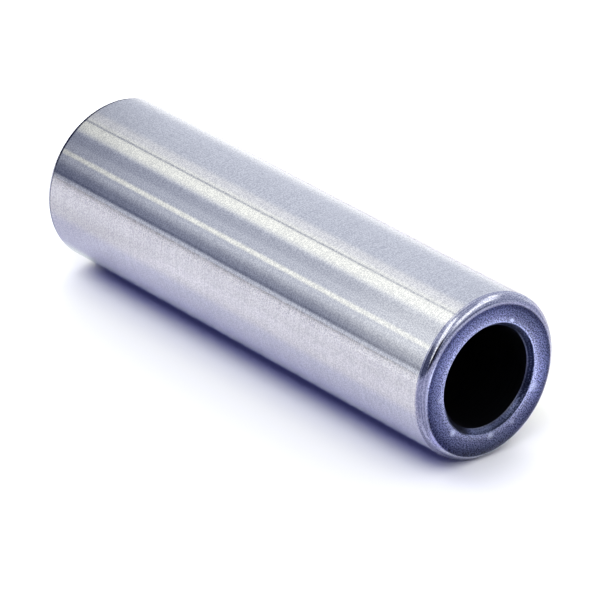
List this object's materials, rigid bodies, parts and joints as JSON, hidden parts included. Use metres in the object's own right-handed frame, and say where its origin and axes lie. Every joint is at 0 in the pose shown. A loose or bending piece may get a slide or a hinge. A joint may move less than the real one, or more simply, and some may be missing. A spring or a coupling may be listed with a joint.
{
  "type": "gudgeon pin",
  "caption": "Hollow ground steel gudgeon pin with a straight through bore, rounded outer edges and lead-in chamfers, for joining a piston to a connecting rod.",
  "frame": {"origin": "centre of the lower end face, on the pin's axis", "axes": "+Z along the pin's axis from the lower end face to the upper one; +X and +Y are any two square directions, because the pin is round"},
  "size_m": [0.018, 0.018, 0.061],
  "materials": {
    "hardened_steel": "ground satin side, darker turned ends, dark bore"
  },
  "bodies": {
    "root": {"gudgeon_pin": "hardened_steel"}
  },
  "joints": []
}
